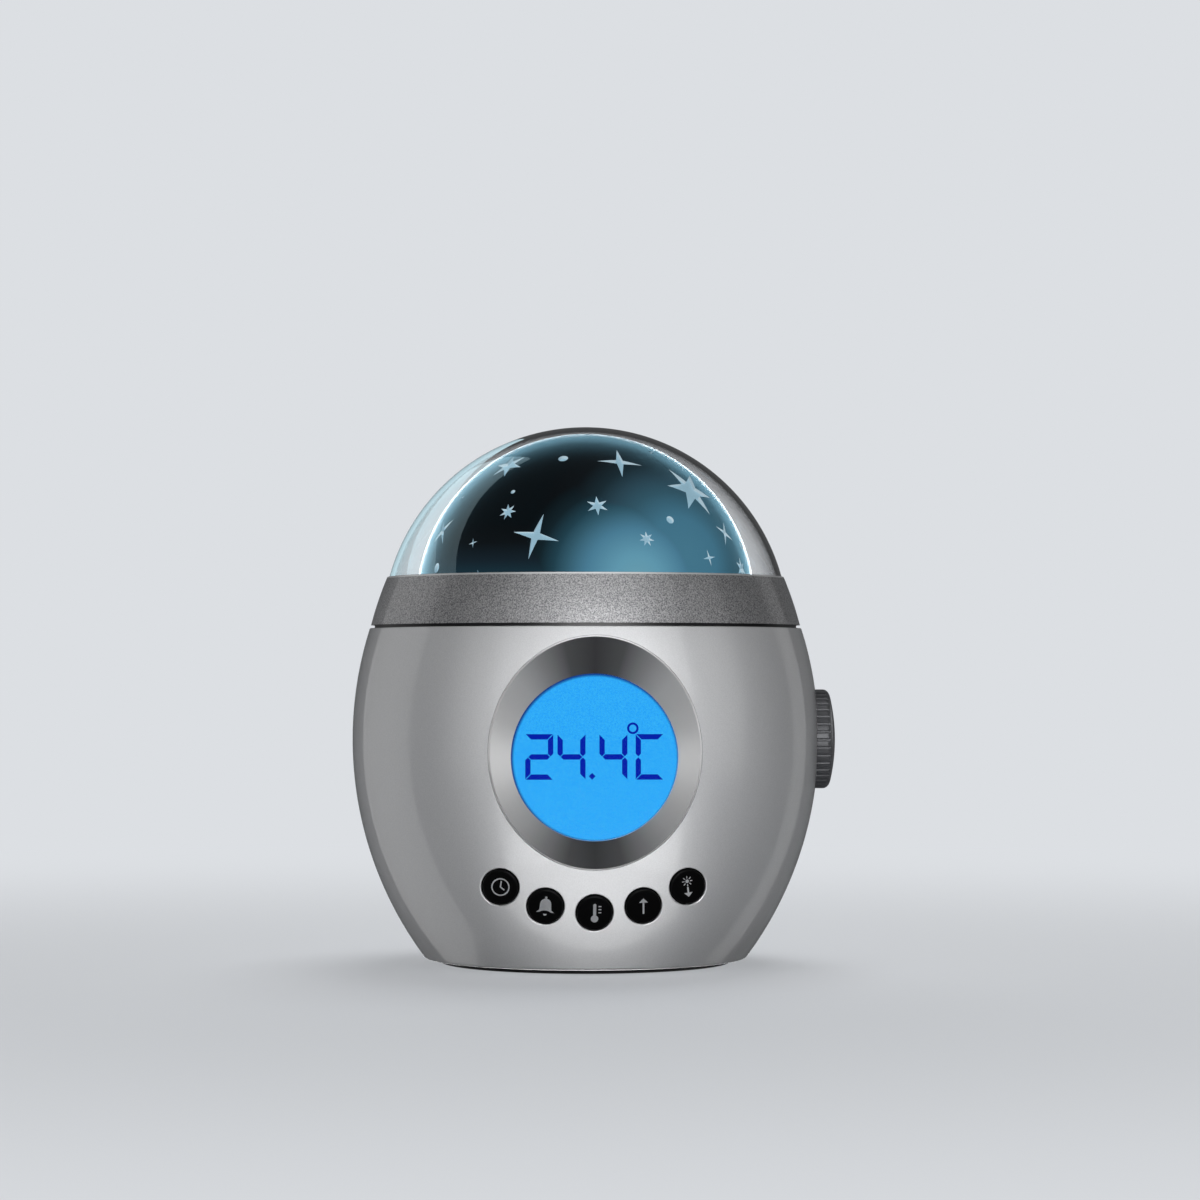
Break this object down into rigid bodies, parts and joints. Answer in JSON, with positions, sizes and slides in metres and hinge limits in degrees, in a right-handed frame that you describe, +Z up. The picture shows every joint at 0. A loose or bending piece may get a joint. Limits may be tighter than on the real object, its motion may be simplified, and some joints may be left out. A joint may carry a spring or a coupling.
{
  "type": "star night light projector",
  "caption": "Egg-shaped star night light projector: clear dome over a star-cut lamp shade, round lit display in a conical dish, push buttons below it and a rotary knob on the side.",
  "frame": {"origin": "centre of the foot ring on the plane that the projector stands on", "axes": "+Z up through the domes, display facing -Y, side knob at +X"},
  "size_m": [0.1264, 0.1184, 0.14],
  "materials": {
    "shell_lacquer": "moulded ABS under pearl silver lacquer, satin gloss",
    "ring_metallic": "ABS with a dark grey metal-flake lacquer",
    "clear_dome": "clear polished polycarbonate",
    "star_print": "black gloss ABS with star-shaped openings",
    "glow_liner": "frosted polycarbonate, lit from inside",
    "black_plastic": "moulded black ABS",
    "screw_steel": "zinc-plated steel",
    "circuit_board": "glass-fibre board with green solder mask",
    "blue_lens": "blue epoxy",
    "green_lens": "green epoxy",
    "amber_lens": "amber epoxy",
    "bezel_silver": "ABS with spun-silver vacuum coating",
    "clear_window": "clear acrylic",
    "lcd_panel": "blue back-lit liquid crystal glass",
    "backlight_block": "white light-guide acrylic",
    "white_plastic": "moulded white ABS",
    "contact_metal": "nickel-plated steel",
    "chip_epoxy": "black epoxy",
    "button_black": "moulded black ABS, semi-gloss",
    "knob_grey": "ABS with grey metallic lacquer",
    "base_grey": "moulded grey ABS, fine spark texture",
    "foot_rubber": "matt black rubber",
    "cell_can": "plain wrapped cell; stands for the mean density of a dry cell"
  },
  "bodies": {
    "root": {"amber_led": "amber_lens", "base_plate": "base_grey", "base_screws": "screw_steel", "battery_cells": "cell_can", "battery_springs": "contact_metal", "blue_led": "blue_lens", "board_chips": "chip_epoxy", "board_screws": "screw_steel", "buzzer": "black_plastic", "contact_plates": "contact_metal", "deck_screws": "screw_steel", "display_bezel": "bezel_silver", "display_window": "clear_window", "dome_deck": "black_plastic", "dome_liner": "glow_liner", "dome_screws": "screw_steel", "foot_ring": "foot_rubber", "front_shell": "shell_lacquer", "green_led": "green_lens", "lamp_board": "circuit_board", "lcd_backlight": "backlight_block", "lcd_glass": "lcd_panel", "lcd_holder": "white_plastic", "lcd_pins": "contact_metal", "main_board": "circuit_board", "outer_dome": "clear_dome", "rear_shell": "shell_lacquer", "rotary_switch": "black_plastic", "star_dome": "star_print", "switch_nut": "contact_metal", "tact_switches": "chip_epoxy", "temp_sensor": "chip_epoxy", "trim_ring": "ring_metallic"},
    "time_key": {"time_button": "button_black", "time_plunger": "white_plastic"},
    "alarm_key": {"alarm_button": "button_black", "alarm_plunger": "white_plastic"},
    "temp_key": {"temp_button": "button_black", "temp_plunger": "white_plastic"},
    "up_key": {"up_button": "button_black", "up_plunger": "white_plastic"},
    "down_key": {"down_button": "button_black", "down_plunger": "white_plastic"},
    "knob": {"side_knob": "knob_grey", "knob_shaft": "contact_metal"},
    "door": {"battery_door": "base_grey", "door_screws": "screw_steel"}
  },
  "joints": [
    {"name": "time_press", "type": "slide", "parent": "root", "child": "time_key", "axis": [0, 1, 0], "range_m": [0, 0.0008], "stiffness_N_per_m": 300},
    {"name": "alarm_press", "type": "slide", "parent": "root", "child": "alarm_key", "axis": [0, 1, 0], "range_m": [0, 0.0008], "stiffness_N_per_m": 300},
    {"name": "temp_press", "type": "slide", "parent": "root", "child": "temp_key", "axis": [0, 1, 0], "range_m": [0, 0.0008], "stiffness_N_per_m": 300},
    {"name": "up_press", "type": "slide", "parent": "root", "child": "up_key", "axis": [0, 1, 0], "range_m": [0, 0.0008], "stiffness_N_per_m": 300},
    {"name": "down_press", "type": "slide", "parent": "root", "child": "down_key", "axis": [0, 1, 0], "range_m": [0, 0.0008], "stiffness_N_per_m": 300},
    {"name": "knob_turn", "type": "hinge", "parent": "root", "child": "knob", "pos_m": [0.061, 0, 0.0583], "axis": [1, 0, 0], "range_deg": [-135, 135]},
    {"name": "door_lift_off", "type": "slide", "parent": "root", "child": "door", "axis": [0, 0, -1], "range_m": [0, 0.025]}
  ]
}
